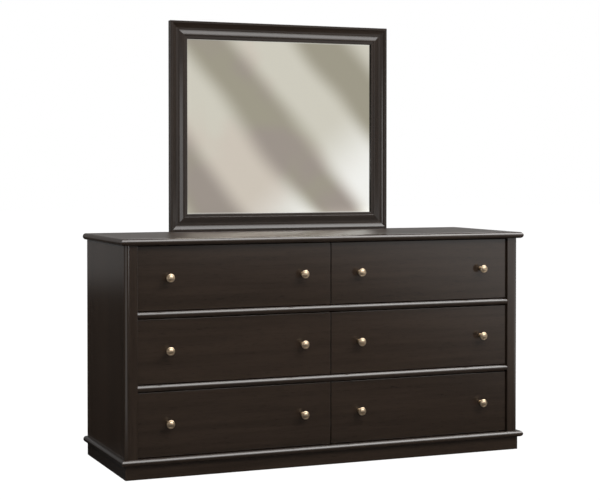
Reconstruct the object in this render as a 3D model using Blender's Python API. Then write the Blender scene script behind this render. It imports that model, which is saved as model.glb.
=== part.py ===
"""A six-drawer double dresser with a framed mirror standing on the back of its top.

Metres, +Z up. X runs across the front, and the front faces -Y. The origin is on the floor,
under the middle of the whole piece.
"""

import math

import bmesh
import bpy
from mathutils import Vector

# Carcass
carcass_width = 1.464
carcass_depth = 0.490
dresser_height = 0.7855

# Clearances: between fixed pieces, and between a drawer and what carries it
joint_gap = 0.0003
running_gap = 0.0003

# Top, with a half-round edge at its front and sides
top_thickness = 0.022
edge_overhang = 0.0155

# Base: a plinth, a bottom panel on it, and a half-round moulding as thick as the panel round its edge
plinth_height = 0.0457
plinth_thickness = 0.020
moulding_height = 0.021

# Sides and back
side_thickness = 0.018
back_thickness = 0.005
back_rabbet_width = 0.008
partition_thickness = 0.018

# Front stiles, rabbeted over the front edges of the sides, and half-round rails between them
stile_width = 0.042
stile_lip = 0.008
stile_depth = 0.020
stile_corner_radius = 0.005
rail_height = 0.0225
rail_depth = 0.040

# Drawers
drawer_recess = 0.010
front_gap = 0.0025
front_thickness = 0.018
front_edge_radius = 0.0015
front_edge_steps = 2
middle_gap = 0.003
box_height = 0.150
box_side_clearance = 0.008
box_back_clearance = 0.017
box_wall = 0.012
groove_rise = 0.011
groove_depth = 0.006
drawer_bottom_thickness = 0.005

# Centre guides that the drawers' notched backs ride on
guide_width = 0.040
guide_rise = 0.008
guide_drop = 0.012
guide_lap = 0.009
notch_clearance = 0.001

# Knobs, turned
knob_length = 0.031
knob_radius = 0.0152
knob_foot_radius = 0.0085
knob_foot_thickness = 0.002
knob_neck_radius = 0.0052
knob_neck_length = 0.0135
knob_rim_back = 0.0215
knob_rim_thickness = 0.0025
knob_inset = 0.1045
knob_raise = 0.0015

# Mirror frame, mitred, with its moulded face measured from the outer edge inwards
mirror_width = 0.8605
mirror_height = 0.7616
frame_width = 0.0637
frame_depth = 0.028
frame_edge_radius = 0.0015
frame_band = 0.007
cove_width = 0.023
cove_depth = 0.014
cove_floor = 0.008
bead_rise = 0.0065
bead_rise_width = 0.007
bead_radius = 0.0015
lip_step = 0.0012
lip_drop = 0.0015
lip_thickness = 0.003
rabbet_width = 0.006
glass_thickness = 0.004
backing_thickness = 0.003

# Mirror supports, screwed to the back of the carcass and of the frame
support_width = 0.040
support_thickness = 0.019
support_below_top = 0.400
support_below_mirror_top = 0.120

# Counts and shares
rows = ("lower", "middle", "upper")
sides = {"left": -1, "right": 1}
round_steps = 10
corner_steps = 4
small_round_steps = 3
sharp_from = 35
cove_steps = 6
knob_sides = 16
knob_dome_steps = 4
knob_dome_end = 78
bead_start, bead_end = 150, 30
overrun_share = 0.5

# Places that follow from the sizes
knob_reach = joint_gap + knob_length - drawer_recess
front_reach = max(knob_reach, edge_overhang)
back_reach = joint_gap + support_thickness
front_y = front_reach - (front_reach + carcass_depth + back_reach) / 2
back_y = front_y + carcass_depth
half_width = carcass_width / 2
opening_half = half_width - stile_width
bottom_low = plinth_height + joint_gap
bottom_high = bottom_low + moulding_height
top_low = dresser_height - top_thickness
rail_count = len(rows) - 1
opening_height = (top_low - bottom_high - rail_count * rail_height) / len(rows)
rail_back = front_y + rail_depth
panel_back = back_y - back_thickness - joint_gap
drawer_face = front_y + drawer_recess
drawer_width = opening_half - front_gap - middle_gap / 2
drawer_x = (opening_half - front_gap + middle_gap / 2) / 2
drawer_height = opening_height - 2 * front_gap
box_half = drawer_x - partition_thickness / 2 - box_side_clearance
box_front = front_thickness + joint_gap
box_length = panel_back - box_back_clearance - drawer_face - box_front
groove_height = drawer_bottom_thickness + 2 * joint_gap
mirror_low = dresser_height + joint_gap
mirror_high = mirror_low + mirror_height


def finish_of(name, colour, roughness, metallic=0.0):
    """A material with the piece's colour, roughness and metallic value."""
    made = bpy.data.materials.new(name)
    made.use_nodes = True
    shader = made.node_tree.nodes["Principled BSDF"]
    shader.inputs["Base Color"].default_value = (*colour, 1.0)
    shader.inputs["Roughness"].default_value = roughness
    shader.inputs["Metallic"].default_value = metallic
    return made


def row_low(row):
    """Height of the opening's lower edge in that row, counted from the lowest."""
    return bottom_high + row * (opening_height + rail_height)


def arc(centre, radii, start, end, steps):
    """Points along an elliptical arc, from the start angle to the end angle in degrees."""
    points = []
    for i in range(steps + 1):
        angle = math.radians(start + (end - start) * i / steps)
        points.append((centre[0] + radii[0] * math.cos(angle), centre[1] + radii[1] * math.sin(angle)))
    return points


def solid_through(name, loops):
    """A closed mesh that joins each loop of points to the next and fills the first and the last."""
    shape = bmesh.new()
    rings = [[shape.verts.new(point) for point in loop] for loop in loops]
    for ring, following in zip(rings, rings[1:]):
        for i, corner in enumerate(ring):
            j = (i + 1) % len(ring)
            shape.faces.new((corner, ring[j], following[j], following[i]))
    shape.faces.new(list(reversed(rings[0])))
    shape.faces.new(rings[-1])
    bmesh.ops.recalc_face_normals(shape, faces=shape.faces)
    mesh = bpy.data.meshes.new(name)
    shape.to_mesh(mesh)
    shape.free()
    return mesh


def box_mesh(name, size):
    """A rectangular block centred on its own origin."""
    half = [side / 2 for side in size]
    corners = ((-half[0], -half[1]), (half[0], -half[1]), (half[0], half[1]), (-half[0], half[1]))
    return solid_through(name, [[(x, y, z) for x, y in corners] for z in (-half[2], half[2])])


def place(name, mesh, finish, location=(0, 0, 0), parent=None):
    """Puts a mesh in the scene as one named piece."""
    piece = bpy.data.objects.new(name, mesh)
    bpy.context.scene.collection.objects.link(piece)
    if not mesh.materials:
        mesh.materials.append(finish)
    piece.location = location
    piece.parent = parent
    return piece


def smooth(mesh):
    """Shades the round faces smooth and keeps the corners sharp."""
    mesh.shade_smooth()
    mesh.set_sharp_from_angle(angle=math.radians(sharp_from))


def board(name, low, high, finish):
    """A plain board between two opposite corners, with its origin at its middle."""
    low, high = Vector(low), Vector(high)
    place(name, box_mesh(name, high - low), finish, (low + high) / 2)


def upright(name, outline, low, high, finish):
    """A piece of constant plan, from one height to another."""
    mesh = solid_through(name, [[(x, y, z) for x, y in outline] for z in (0, high - low)])
    smooth(mesh)
    place(name, mesh, finish, (0, 0, low))


def across(name, outline, low, high, finish, location=(0, 0, 0)):
    """A piece of constant section in Y and Z, running from one X to another."""
    mesh = solid_through(name, [[(x, y, z) for y, z in outline] for x in (low, high)])
    smooth(mesh)
    place(name, mesh, finish, location)


def mitred_run(name, outline, ends, rise, finish, location=(0, 0, 0)):
    """A moulding between two ends, each a point and the direction its section's first axis takes there."""
    loops = []
    for point, outwards in ends:
        loops.append([Vector(point) + a * Vector(outwards) + b * Vector(rise) for a, b in outline])
    mesh = solid_through(name, loops)
    smooth(mesh)
    place(name, mesh, finish, location)


def half_round(low, high, root, nose):
    """A section from its root to a half-round nose, as points of reach and height."""
    radius = (high - low) / 2
    middle = (low + high) / 2
    curve = arc((nose - radius, middle), (radius, radius), 90, -90, round_steps)
    return [(root, high), *curve, (root, low)]


def make_top(finish):
    """The top panel, with its half-round edge carried round the front and both sides."""
    radius = top_thickness / 2
    loops = []
    for reach, height in arc((edge_overhang - radius, radius), (radius, radius), 90, -90, round_steps):
        x = half_width + reach
        front = front_y - reach
        loops.append([(-x, front, height), (x, front, height), (x, back_y, height), (-x, back_y, height)])
    mesh = solid_through("top_panel", loops)
    smooth(mesh)
    place("top_panel", mesh, finish, (0, 0, top_low))


def make_base(finish):
    """The plinth's three boards, the bottom panel and the moulding round its edge."""
    front_corner = (-half_width, front_y, bottom_low)
    board("bottom_panel", front_corner, (half_width, panel_back, bottom_high), finish)
    plinth = [(0, 0), (plinth_thickness, 0), (plinth_thickness, plinth_height), (0, plinth_height)]
    moulding = half_round(0, moulding_height, joint_gap, edge_overhang)
    up = (0, 0, 1)
    runs = (("plinth", plinth, -1, 0), ("base_moulding", moulding, 1, bottom_low))
    for name, outline, outwards, height in runs:
        front_ends = []
        for side in (-1, 1):
            corner = (side * (half_width - joint_gap), front_y, 0)
            front_ends.append((corner, (side * outwards, -outwards, 0)))
        mitred_run(f"{name}_front", outline, front_ends, up, finish, (0, 0, height))
        for word, side in sides.items():
            corner = (side * half_width, front_y + joint_gap, 0)
            tail = (side * half_width, back_y, 0)
            ends = ((corner, (side * outwards, -outwards, 0)), (tail, (side * outwards, 0, 0)))
            mitred_run(f"{name}_{word}", outline, ends, up, finish, (0, 0, height))


def make_sides(finish):
    """The two sides, rabbeted for the back, and the stiles that cover their front edges."""
    low, high = bottom_high + joint_gap, top_low - joint_gap
    side_front = front_y + stile_lip + joint_gap
    stile_tongue = half_width - side_thickness - joint_gap
    rabbet_x = half_width - side_thickness + back_rabbet_width
    for word, side in sides.items():
        inner = half_width - side_thickness
        outline = [
            (side * half_width, side_front),
            (side * half_width, back_y),
            (side * rabbet_x, back_y),
            (side * rabbet_x, panel_back),
            (side * inner, panel_back),
            (side * inner, side_front),
        ]
        upright(f"side_panel_{word}", outline, low, high, finish)
        corner = (half_width - stile_corner_radius, front_y + stile_corner_radius)
        radii = (stile_corner_radius, stile_corner_radius)
        outline = [
            (opening_half, front_y),
            *arc(corner, radii, -90, 0, corner_steps),
            (half_width, front_y + stile_lip),
            (stile_tongue, front_y + stile_lip),
            (stile_tongue, front_y + stile_depth),
            (opening_half, front_y + stile_depth),
        ]
        outline = [(side * x, y) for x, y in outline]
        upright(f"front_stile_{word}", outline, low, high, finish)


def make_inside(finish, back_finish):
    """The rails between the rows, the partition between the bays, and the back."""
    for row, word in enumerate(("lower", "upper"), start=1):
        height = row_low(row)
        section = [(front_y - reach, z) for reach, z in half_round(-rail_height, 0, -rail_depth, 0)]
        end = opening_half - joint_gap
        across(f"drawer_rail_{word}", section, -end, end, finish, (0, 0, height))
    half = partition_thickness / 2
    low, high = bottom_high + joint_gap, top_low - joint_gap
    front = rail_back + joint_gap
    board("centre_partition", (-half, front, low), (half, panel_back, high), finish)
    edge = half_width - side_thickness + back_rabbet_width - joint_gap
    front = back_y - back_thickness
    board("back_panel", (-edge, front, bottom_low), (edge, back_y, high), back_finish)


def make_guides(finish):
    """A centre guide for each drawer: on the bottom panel, or lapped over a rail and fixed to the back."""
    for row, word in enumerate(rows):
        low = row_low(row) + joint_gap
        high = row_low(row) + guide_rise
        front = rail_back - guide_lap
        root = rail_back + joint_gap
        outline = [(front, high), (panel_back, high), (panel_back, low), (front, low)]
        if row:
            drop = row_low(row) - guide_drop
            outline[2:3] = [(panel_back, drop), (root, drop), (root, low)]
        for hand, side in sides.items():
            middle = side * drawer_x
            ends = (middle - guide_width / 2, middle + guide_width / 2)
            across(f"{word}_{hand}_guide", outline, *ends, finish)


def front_mesh():
    """A drawer front: a slab with eased face edges and a groove in its back for the drawer's bottom."""
    groove_low = groove_rise + running_gap - front_gap
    groove_high = groove_low + groove_height
    groove_floor = front_thickness - groove_depth
    outline = [
        (0, 0),
        (0, drawer_height),
        (front_thickness, drawer_height),
        (front_thickness, groove_high),
        (groove_floor, groove_high),
        (groove_floor, groove_low),
        (front_thickness, groove_low),
        (front_thickness, 0),
    ]
    ends = (-drawer_width / 2, drawer_width / 2)
    mesh = solid_through("drawer_front", [[(x, y, z + front_gap) for y, z in outline] for x in ends])
    weights = mesh.attributes.new("bevel_weight_edge", "FLOAT", "EDGE")
    for edge in mesh.edges:
        at_face = all(mesh.vertices[corner].co.y == 0 for corner in edge.vertices)
        weights.data[edge.index].value = float(at_face)
    return mesh


def box_wrap_mesh():
    """A drawer's two sides and back in one run, grooved inside for the bottom."""
    groove_high = groove_rise + groove_height
    groove_floor = groove_depth - box_wall
    outline = [
        (0, 0),
        (0, box_height),
        (-box_wall, box_height),
        (-box_wall, groove_high),
        (groove_floor, groove_high),
        (groove_floor, groove_rise),
        (-box_wall, groove_rise),
        (-box_wall, 0),
    ]
    front, back = box_front, box_front + box_length
    turns = (((-1, 0), front), ((-1, 1), back), ((1, 1), back), ((1, 0), front))
    loops = []
    for (across_x, along_y), y in turns:
        loops.append(
            [(across_x * (box_half + a), y + along_y * a, running_gap + b) for a, b in outline]
        )
    return solid_through("drawer_box", loops)


def bottom_mesh():
    """A drawer's bottom panel, let into the grooves of the box and the front."""
    reach = box_half - box_wall + groove_depth - joint_gap
    front = front_thickness - groove_depth + joint_gap
    back = box_front + box_length - box_wall + groove_depth - joint_gap
    low = running_gap + groove_rise + joint_gap
    corners = ((-reach, front), (reach, front), (reach, back), (-reach, back))
    levels = (low, low + drawer_bottom_thickness)
    return solid_through("drawer_bottom", [[(x, y, z) for x, y in corners] for z in levels])


def notch_mesh():
    """The cutter that opens a drawer's back over its guide, centred on the row's lower edge."""
    width = guide_width + 2 * notch_clearance
    depth = box_wall * (1 + 2 * overrun_share)
    height = 2 * (guide_rise + running_gap)
    return box_mesh("notch", (width, depth, height))


def knob_mesh():
    """A turned knob standing on +Z: a foot, a waisted neck, a rolled rim and a shallow dome."""
    rim_front = knob_rim_back + knob_rim_thickness
    dome_rise = (knob_length - rim_front) / math.sin(math.radians(knob_dome_end))
    flare = (knob_radius - knob_neck_radius, knob_rim_back - knob_neck_length)
    profile = [
        (knob_foot_radius, 0),
        (knob_foot_radius, knob_foot_thickness),
        (knob_neck_radius, knob_foot_thickness + (knob_foot_radius - knob_neck_radius)),
    ]
    profile += arc((knob_radius, knob_neck_length), flare, 180, 90, small_round_steps)
    profile += arc((0, rim_front), (knob_radius, dome_rise), 0, knob_dome_end, knob_dome_steps)
    loops = []
    for radius, height in profile:
        turns = [2 * math.pi * i / knob_sides for i in range(knob_sides)]
        loops.append([(radius * math.cos(t), radius * math.sin(t), height) for t in turns])
    mesh = solid_through("knob", loops)
    smooth(mesh)
    return mesh


def make_drawers(front_finish, box_finish, knob_finish):
    """Six drawers, each carried by an empty at the middle of its face, where it slides along -Y."""
    front, wrap, bottom, knob = front_mesh(), box_wrap_mesh(), bottom_mesh(), knob_mesh()
    notch = notch_mesh()
    for row, word in enumerate(rows):
        for hand, side in sides.items():
            name = f"{word}_{hand}_drawer"
            carrier = bpy.data.objects.new(f"{name}_slide", None)
            bpy.context.scene.collection.objects.link(carrier)
            carrier.location = (side * drawer_x, drawer_face, row_low(row))
            slab = place(f"{name}_front", front, front_finish, parent=carrier)
            ease = slab.modifiers.new("eased_edges", "BEVEL")
            ease.width = front_edge_radius
            ease.segments = front_edge_steps
            ease.limit_method = "WEIGHT"
            box = place(f"{name}_box", wrap, box_finish, parent=carrier)
            place(f"{name}_bottom", bottom, box_finish, parent=carrier)
            back_middle = box_front + box_length - box_wall / 2
            cutter = place(f"{name}_notch", notch, box_finish, (0, back_middle, 0), carrier)
            cutter.hide_render = True
            cutter.display_type = "WIRE"
            cut = box.modifiers.new("guide_notch", "BOOLEAN")
            cut.operation = "DIFFERENCE"
            cut.object = cutter
            for knob_hand, knob_side in sides.items():
                x = knob_side * (drawer_width / 2 - knob_inset)
                seat = (x, -joint_gap, opening_height / 2 + knob_raise)
                piece = place(f"{word}_{hand}_knob_{knob_hand}", knob, knob_finish, seat, carrier)
                piece.rotation_euler = (math.radians(90), 0, 0)


def frame_outline():
    """The mirror frame's section: reach inwards from the outer edge, and height from the back."""
    floor = frame_depth - cove_depth
    cove_end = frame_band + cove_width
    rise_start = cove_end + cove_floor
    bead_x = rise_start + bead_rise_width
    bead_top = floor + bead_rise
    lip_x = bead_x + 2 * bead_radius
    lip_high = bead_top - lip_step
    lip_low = lip_high - lip_drop
    rabbet = frame_width - rabbet_width
    glass_front = lip_low - lip_thickness
    edge = (frame_edge_radius, frame_edge_radius)
    bead = (bead_radius, bead_radius)
    bead_middle = (bead_x + bead_radius, bead_top - bead_radius)
    return [
        (0, 0),
        *arc((frame_edge_radius, frame_depth - frame_edge_radius), edge, 180, 90, small_round_steps),
        *arc((cove_end, frame_depth), (cove_width, cove_depth), 180, 270, cove_steps),
        (rise_start, floor),
        *arc(bead_middle, bead, bead_start, bead_end, small_round_steps),
        (lip_x, lip_high),
        (frame_width, lip_low),
        (frame_width, glass_front),
        (rabbet, glass_front),
        (rabbet, 0),
    ]


def make_mirror(finish, glass_finish, backing_finish):
    """The mitred frame, the silvered glass in its rabbet, the backing board and the two supports."""
    outline = frame_outline()
    x = mirror_width / 2
    forward = (0, -1, 0)
    place_at = (0, back_y, 0)
    for word, z, inwards in (("bottom", mirror_low, 1), ("top", mirror_high, -1)):
        ends = [((side * (x - joint_gap), 0, z), (-side, 0, inwards)) for side in (-1, 1)]
        mitred_run(f"mirror_frame_{word}", outline, ends, forward, finish, place_at)
    for word, side in sides.items():
        ends = (
            ((side * x, 0, mirror_low + joint_gap), (-side, 0, 1)),
            ((side * x, 0, mirror_high - joint_gap), (-side, 0, -1)),
        )
        mitred_run(f"mirror_frame_{word}", outline, ends, forward, finish, place_at)
    reach = frame_width - rabbet_width + joint_gap
    glass_front = frame_depth - cove_depth + bead_rise - lip_step - lip_drop - lip_thickness - joint_gap
    glass_back = glass_front - glass_thickness
    low, high = mirror_low + reach, mirror_high - reach
    for name, front, thickness, sheet_finish in (
        ("mirror_glass", glass_front, glass_thickness, glass_finish),
        ("mirror_backing", glass_back - joint_gap, backing_thickness, backing_finish),
    ):
        y = back_y - front
        board(name, (reach - x, y, low), (x - reach, y + thickness, high), sheet_finish)
    for word, side in sides.items():
        middle = side * (x - frame_width / 2)
        low = (middle - support_width / 2, back_y + joint_gap, dresser_height - support_below_top)
        high = (
            middle + support_width / 2,
            back_y + joint_gap + support_thickness,
            mirror_high - support_below_mirror_top,
        )
        board(f"mirror_support_{word}", low, high, finish)


def main():
    for old in list(bpy.data.objects):
        bpy.data.objects.remove(old)
    espresso = finish_of("espresso_finish", (0.030, 0.024, 0.020), 0.35)
    face = finish_of("drawer_face_finish", (0.034, 0.026, 0.022), 0.38)
    brass = finish_of("aged_brass", (0.46, 0.34, 0.20), 0.30, 1.0)
    birch = finish_of("drawer_birch", (0.50, 0.36, 0.22), 0.55)
    hardboard = finish_of("dark_hardboard", (0.10, 0.065, 0.045), 0.80)
    silver = finish_of("silvered_glass", (0.80, 0.80, 0.77), 0.05, 1.0)
    make_top(espresso)
    make_base(espresso)
    make_sides(espresso)
    make_inside(espresso, hardboard)
    make_guides(birch)
    make_drawers(face, birch, brass)
    make_mirror(espresso, silver, hardboard)


main()
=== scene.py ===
"""The looks of a six-drawer dresser with a framed mirror: espresso lacquer, turned brass and glass.

Metres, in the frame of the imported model: +Z up, the drawers facing -Y.
"""

import math

import bmesh
import bpy
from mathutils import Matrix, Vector


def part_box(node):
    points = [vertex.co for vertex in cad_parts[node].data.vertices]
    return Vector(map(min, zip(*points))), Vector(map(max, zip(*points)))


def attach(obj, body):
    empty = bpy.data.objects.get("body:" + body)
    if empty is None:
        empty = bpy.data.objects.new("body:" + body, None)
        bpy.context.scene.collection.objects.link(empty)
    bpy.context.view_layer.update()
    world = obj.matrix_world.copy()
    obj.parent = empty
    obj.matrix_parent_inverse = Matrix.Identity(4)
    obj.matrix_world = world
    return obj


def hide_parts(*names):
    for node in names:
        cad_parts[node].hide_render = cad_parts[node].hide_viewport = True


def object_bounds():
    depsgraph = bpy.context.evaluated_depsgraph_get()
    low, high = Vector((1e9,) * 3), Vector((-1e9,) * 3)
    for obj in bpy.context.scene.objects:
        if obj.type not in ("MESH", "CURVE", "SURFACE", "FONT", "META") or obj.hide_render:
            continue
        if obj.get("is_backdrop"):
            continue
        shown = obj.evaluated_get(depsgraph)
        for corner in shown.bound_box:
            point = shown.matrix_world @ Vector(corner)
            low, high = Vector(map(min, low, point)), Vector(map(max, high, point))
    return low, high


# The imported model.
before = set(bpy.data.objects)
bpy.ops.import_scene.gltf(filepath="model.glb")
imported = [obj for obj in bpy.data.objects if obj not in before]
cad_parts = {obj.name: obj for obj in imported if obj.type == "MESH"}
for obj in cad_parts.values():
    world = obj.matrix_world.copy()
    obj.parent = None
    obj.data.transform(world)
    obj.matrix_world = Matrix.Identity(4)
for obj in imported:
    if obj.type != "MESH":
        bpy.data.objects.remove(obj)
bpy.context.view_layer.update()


# Camera. It stands at the left of the piece, a little above the dresser's top, with a long lens,
# and looks down by one degree. The rest of its low aim is lens shift.
def put_in(name, data):
    """A new object of the scene."""
    made = bpy.data.objects.new(name, data)
    bpy.context.scene.collection.objects.link(made)
    return made


picture_width = 600
focal_length = 1492.75
looks_down = 1
turned_right = 22.494
lens = bpy.data.cameras.new("camera")
lens.sensor_width = 36
lens.lens = focal_length / picture_width * lens.sensor_width
lens.shift_y = -0.0931
camera = put_in("camera", lens)
camera.location = (-2.0553, -4.9193, 1.0158)
camera.rotation_euler = (math.radians(90 - looks_down), 0, math.radians(-turned_right))
bpy.context.scene.camera = camera
bpy.context.scene.view_settings.view_transform = "Standard"


# Studio. A pale floor runs into a white surround, and two softboxes light the piece. Gloss sees a
# darker room with a few bright cards in it, so that the lacquer's rounded edges show one bright
# line and its flat faces stay dark.
def step(tree, kind, inputs=(), **settings):
    """Adds a node, sets its properties, and links or sets its inputs."""
    node = tree.nodes.new(kind)
    for key, value in settings.items():
        setattr(node, key, value)
    for key, value in dict(inputs).items():
        if isinstance(value, bpy.types.NodeSocket):
            tree.links.new(value, node.inputs[key])
        else:
            node.inputs[key].default_value = value
    return node


def emptied(holder):
    """The node tree of a new world or material, with nothing in it."""
    holder.use_nodes = True
    holder.node_tree.nodes.clear()
    return holder.node_tree


def math_of(tree, operation, first, second=0.0):
    """Two values joined by one operation."""
    return step(tree, "ShaderNodeMath", {0: first, 1: second}, operation=operation).outputs[0]


def vector_of(tree, operation, *vectors):
    """Vectors joined by one operation."""
    inputs = dict(enumerate(vectors))
    return step(tree, "ShaderNodeVectorMath", inputs, operation=operation).outputs[0]


def along_axis(tree, vector, axis):
    """How far a vector reaches along an axis."""
    return step(tree, "ShaderNodeVectorMath", {0: vector, 1: axis}, operation="DOT_PRODUCT").outputs["Value"]


def product(tree, *values):
    """A few values multiplied."""
    result = values[0]
    for value in values[1:]:
        result = math_of(tree, "MULTIPLY", result, value)
    return result


def total(tree, *groups):
    """The sum of a few values, each the product of what its group holds."""
    result = product(tree, *groups[0])
    for group in groups[1:]:
        result = math_of(tree, "ADD", product(tree, *group), result)
    return result


def mixed(tree, share, first, second):
    """One value easing into another."""
    inputs = {"Factor": share, 2: first, 3: second}
    return step(tree, "ShaderNodeMix", inputs, data_type="FLOAT").outputs[0]


def ramp(tree, value, start, end):
    """0 up to the start, easing to 1 at the end."""
    inputs = {"Value": value, "From Min": start, "From Max": end}
    return step(tree, "ShaderNodeMapRange", inputs, interpolation_type="SMOOTHSTEP").outputs[0]


def window(tree, value, low, first, last, high):
    """1 between the first and the last mark, easing to 0 at the outer ones."""
    return product(tree, ramp(tree, value, low, first), ramp(tree, value, high, last))


def own_place(tree):
    """Where a point of the surface lies, in metres."""
    return step(tree, "ShaderNodeTexCoord").outputs["Object"]


def seen_directly(tree):
    """Whether a ray is the camera's, and whether it is the camera's, a reflection or seen through glass."""
    path = step(tree, "ShaderNodeLightPath").outputs
    either = math_of(tree, "MAXIMUM", path["Is Camera Ray"], path["Is Glossy Ray"])
    return path["Is Camera Ray"], math_of(tree, "MAXIMUM", either, path["Is Transmission Ray"])


def card_seen(tree, aim, card):
    """How much of a card lies in a level direction."""
    return ramp(tree, along_axis(tree, aim, card["aim"]), *card["edge"])


# Each card that only gloss sees has a direction, the cosines of its soft edge and a level.
plain_level = 0.42
ceiling_level = 0.07
overhead_level = 9.0
back_strip_level = 0.3
horizon_level = 0.16
right_wall_level = 0.09
right_back_level = 0.10
left_back_level = 0.20
front_level = 0.25
right_card_level = 0.68
left_card = {"aim": (-0.966, -0.259, 0), "edge": (0.92, 0.96), "level": 0.8}
near_card = {"aim": (-0.238, -0.971, 0), "edge": (0.985, 0.997), "level": 3.2}
glass_card_axis = (0.9295, 0.3689, 0)
glass_card_level = 0.88
surround = bpy.data.worlds.new("surround")
bpy.context.scene.world = surround
tree = emptied(surround)
camera_ray, direct = seen_directly(tree)
aim = step(tree, "ShaderNodeTexCoord").outputs["Generated"]
part = step(tree, "ShaderNodeSeparateXYZ", {0: aim}).outputs
to_the_back = ramp(tree, part["Y"], 0.3, 0.6)
to_the_front = ramp(tree, part["Y"], 0.0, -0.3)
rightwards = along_axis(tree, aim, (1, -0.35, 0))
right_wall = ramp(tree, rightwards, 0.11, 0.24)
right_card = window(tree, along_axis(tree, aim, (0.857, 0.515, 0)), -0.19, 0.03, 0.07, 0.18)
horizon = total(
    tree,
    (right_wall, right_wall_level),
    (right_wall, to_the_back, right_back_level),
    (ramp(tree, rightwards, -0.35, -0.15), to_the_back, left_back_level),
    (window(tree, rightwards, 0.20, 0.30, 0.58, 0.64), to_the_front, front_level),
    (right_card, to_the_front, right_card_level),
    (horizon_level,),
)
level_aim = vector_of(tree, "NORMALIZE", vector_of(tree, "MULTIPLY", aim, (1, 1, 0)))
low_band = ramp(tree, part["Z"], 0.26, 0.13)
back_strip = window(tree, part["Z"], 0.22, 0.25, 0.30, 0.34)
overhead = product(tree, ramp(tree, part["Z"], 0.22, 0.66), ramp(tree, part["X"], -0.45, 0.6))
lit = total(
    tree,
    (horizon, low_band),
    (card_seen(tree, level_aim, left_card), low_band, left_card["level"]),
    (card_seen(tree, level_aim, near_card), ramp(tree, part["Z"], 0.075, 0.035), near_card["level"]),
    (ramp(tree, part["Y"], 0.5, 0.8), back_strip, back_strip_level),
    (overhead, ramp(tree, part["Y"], 0.12, -0.12), overhead_level),
    (ceiling_level,),
)

# The mirror sees a card of its own.
across_card = window(tree, along_axis(tree, aim, glass_card_axis), -0.080, -0.068, 0.068, 0.080)
up_card = window(tree, part["Z"], -0.10, -0.075, 0.094, 0.108)
glass_card = product(tree, across_card, up_card, to_the_front, glass_card_level)
lit = math_of(tree, "MAXIMUM", lit, glass_card)
level = mixed(tree, camera_ray, mixed(tree, direct, plain_level, lit), 1.0)
background = step(tree, "ShaderNodeBackground", {"Color": (1, 1, 1, 1), "Strength": level})
step(tree, "ShaderNodeOutputWorld", {"Surface": background.outputs[0]})

# In gloss the cards run on over the floor, which is darker behind the piece than before it.
floor_reach = 30
floor_albedo = 0.45
floor_shown = 0.92
floor_glow = 1.1
pool_level = 1.1
near_level = 0.05
far_level = 0.20
far_card_level = 0.62
behind_level = 0.006
far_behind_level = 0.14
side_patch_level = 0.24
floor_material = bpy.data.materials.new("pale_floor")
tree = emptied(floor_material)
camera_ray, direct = seen_directly(tree)
place = own_place(tree)
distance = step(tree, "ShaderNodeVectorMath", {0: place}, operation="LENGTH").outputs["Value"]
flat_aim = vector_of(tree, "NORMALIZE", place)
to_the_right = ramp(tree, along_axis(tree, place, (1, 0.33, 0)), 0.3, 3.4)
pool = total(tree, (to_the_right, ramp(tree, distance, 0.9, 2.4), pool_level), (near_level,))
across_card = window(tree, along_axis(tree, flat_aim, glass_card_axis), -0.10, -0.085, 0.085, 0.10)
far_card = (across_card, ramp(tree, distance, 15.0, 18.0), far_card_level)
far = total(tree, far_card, (ramp(tree, distance, 9.0, 16.0), far_level))
ahead = total(
    tree,
    (card_seen(tree, flat_aim, near_card), ramp(tree, distance, 6.0, 12.0), near_card["level"]),
    (math_of(tree, "MAXIMUM", far, pool),),
)
side_patch = ramp(tree, along_axis(tree, flat_aim, (1, 0, 0)), -0.41, -0.34)
behind = total(
    tree,
    (ramp(tree, distance, 6.5, 10.5), far_behind_level),
    (window(tree, distance, 1.3, 1.7, 2.6, 3.2), side_patch, side_patch_level),
    (behind_level,),
)
depth = along_axis(tree, place, (0, 1, 0))
backwards = step(tree, "ShaderNodeMapRange", {"Value": depth, "From Min": -0.5, "From Max": 0.5}).outputs[0]
reflected = total(
    tree,
    (card_seen(tree, flat_aim, left_card), ramp(tree, distance, 0.9, 2.6), left_card["level"]),
    (mixed(tree, backwards, ahead, behind),),
)
glow = mixed(tree, camera_ray, reflected, floor_glow)
share = product(tree, direct, mixed(tree, camera_ray, 1.0, floor_shown))
matt = step(tree, "ShaderNodeBsdfDiffuse", {"Color": (floor_albedo, floor_albedo, floor_albedo, 1)})
white = step(tree, "ShaderNodeEmission", {"Color": (1, 1, 1, 1), "Strength": glow})
both = step(tree, "ShaderNodeMixShader", {0: share, 1: matt.outputs[0], 2: white.outputs[0]})
step(tree, "ShaderNodeOutputMaterial", {"Surface": both.outputs[0]})

floor_mesh = bpy.data.meshes.new("floor")
corners = [(x * floor_reach, y * floor_reach, 0) for x, y in ((-1, -1), (1, -1), (1, 1), (-1, 1))]
floor_mesh.from_pydata(corners, [], [(0, 1, 2, 3)])
floor_mesh.materials.append(floor_material)
floor = put_in("floor", floor_mesh)
floor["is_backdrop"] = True

softboxes = (
    ("softbox_front", (0.9, -2.6, 2.9), (0.2, 0.0, 0.5), (3.4, 1.7), 108),
    ("softbox_left", (-2.7, 0.6, 2.1), (-0.7, 0.0, 0.5), (1.1, 1.1), 40),
)
for name, stand, aim_at, size, watts in softboxes:
    lamp = bpy.data.lights.new(name, "AREA")
    lamp.shape = "RECTANGLE"
    lamp.size, lamp.size_y = size
    lamp.energy = watts
    softbox = put_in(name, lamp)
    softbox.visible_glossy = False
    softbox.location = stand
    softbox.rotation_euler = (Vector(aim_at) - Vector(stand)).to_track_quat("-Z", "Y").to_euler()


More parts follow.
